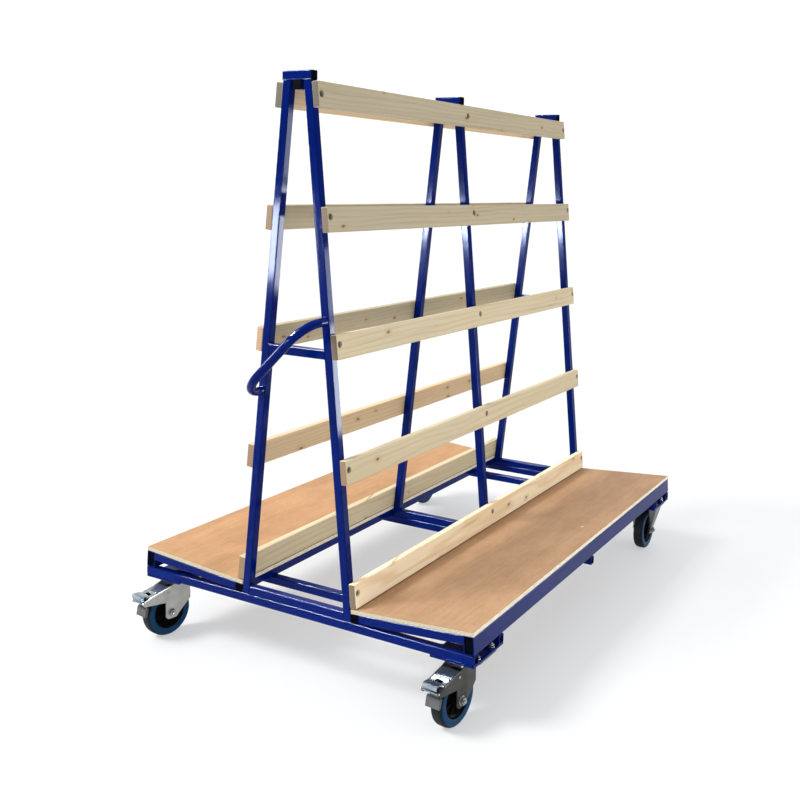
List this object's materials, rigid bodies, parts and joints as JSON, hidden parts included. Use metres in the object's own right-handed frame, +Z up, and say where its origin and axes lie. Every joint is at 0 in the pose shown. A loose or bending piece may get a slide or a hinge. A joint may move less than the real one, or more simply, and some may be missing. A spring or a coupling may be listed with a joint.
{
  "type": "sheet goods cart",
  "caption": "Double-sided A-frame cart for sheet goods: tilted plywood decks, timber rails on blue square tube, diagonal grab handle, braked swivel casters and rigid casters.",
  "frame": {"origin": "on the floor under the middle of the bounding box", "axes": "+Z up, -Y towards the handle end, +X to the right-hand deck"},
  "size_m": [1.14, 1.7346, 1.685],
  "materials": {
    "blue_paint": "gloss powder coat",
    "pine": "planed softwood, unpainted",
    "plywood": "red-brown veneer, satin",
    "zinc": "zinc plated pressed steel",
    "tyre": "solid rubber on a black hub"
  },
  "bodies": {
    "frame": {"leg_front_left": "blue_paint", "leg_front_right": "blue_paint", "cap_tube_front": "blue_paint", "foot_tube_front": "blue_paint", "leg_middle_left": "blue_paint", "leg_middle_right": "blue_paint", "cap_tube_middle": "blue_paint", "foot_tube_middle": "blue_paint", "leg_rear_left": "blue_paint", "leg_rear_right": "blue_paint", "cap_tube_rear": "blue_paint", "foot_tube_rear": "blue_paint", "crossbar_front": "blue_paint", "crossbar_rear": "blue_paint", "ridge_tube": "blue_paint", "handle": "blue_paint", "cross_tube_front": "blue_paint", "cross_tube_front_inner": "blue_paint", "cross_tube_middle": "blue_paint", "cross_tube_rear_inner": "blue_paint", "cross_tube_rear": "blue_paint", "deck_inner_tube_left": "blue_paint", "deck_outer_tube_left": "blue_paint", "deck_cross_tube_front_left": "blue_paint", "deck_cross_tube_rear_left": "blue_paint", "caster_mount_front_left": "blue_paint", "caster_mount_rear_left": "blue_paint", "deck_inner_tube_right": "blue_paint", "deck_outer_tube_right": "blue_paint", "deck_cross_tube_front_right": "blue_paint", "deck_cross_tube_rear_right": "blue_paint", "caster_mount_front_right": "blue_paint", "caster_mount_rear_right": "blue_paint", "rail_left_1": "pine", "rail_left_2": "pine", "rail_left_3": "pine", "rail_left_4": "pine", "rail_left_5": "pine", "rail_right_1": "pine", "rail_right_2": "pine", "rail_right_3": "pine", "rail_right_4": "pine", "rail_right_5": "pine", "deck_left": "plywood", "deck_right": "plywood", "swivel_plate_left": "zinc", "rigid_bracket_left": "zinc", "swivel_plate_right": "zinc", "rigid_bracket_right": "zinc"},
    "fork_left": {"swivel_fork_left": "zinc", "axle_front_left": "zinc"},
    "front_wheel_left": {"wheel_front_left": "tyre"},
    "pedal_left": {"brake_pedal_left": "zinc"},
    "rear_wheel_left": {"wheel_rear_left": "tyre"},
    "fork_right": {"swivel_fork_right": "zinc", "axle_front_right": "zinc"},
    "front_wheel_right": {"wheel_front_right": "tyre"},
    "pedal_right": {"brake_pedal_right": "zinc"},
    "rear_wheel_right": {"wheel_rear_right": "tyre"}
  },
  "joints": [
    {"name": "swivel_left", "type": "hinge", "parent": "frame", "child": "fork_left", "pos_m": [-0.504, -0.67915, 0.163], "axis": [0, 0, 1], "continuous": true},
    {"name": "front_wheel_spin_left", "type": "hinge", "parent": "fork_left", "child": "front_wheel_left", "pos_m": [-0.51477, -0.74021, 0.075], "axis": [0.9848, -0.1736, 0], "continuous": true},
    {"name": "brake_left", "type": "hinge", "parent": "fork_left", "child": "pedal_left", "pos_m": [-0.51685, -0.75203, 0.143], "axis": [0.9848, -0.1736, 0], "range_deg": [0, 4]},
    {"name": "rear_wheel_spin_left", "type": "hinge", "parent": "frame", "child": "rear_wheel_left", "pos_m": [-0.504, 0.78385, 0.075], "axis": [1, 0, 0], "continuous": true},
    {"name": "swivel_right", "type": "hinge", "parent": "frame", "child": "fork_right", "pos_m": [0.504, -0.67915, 0.163], "axis": [0, 0, 1], "continuous": true},
    {"name": "front_wheel_spin_right", "type": "hinge", "parent": "fork_right", "child": "front_wheel_right", "pos_m": [0.49752, -0.74081, 0.075], "axis": [0.9945, -0.1045, 0], "continuous": true},
    {"name": "brake_right", "type": "hinge", "parent": "fork_right", "child": "pedal_right", "pos_m": [0.49627, -0.75274, 0.143], "axis": [0.9945, -0.1045, 0], "range_deg": [0, 4]},
    {"name": "rear_wheel_spin_right", "type": "hinge", "parent": "frame", "child": "rear_wheel_right", "pos_m": [0.504, 0.78385, 0.075], "axis": [1, 0, 0], "continuous": true}
  ]
}
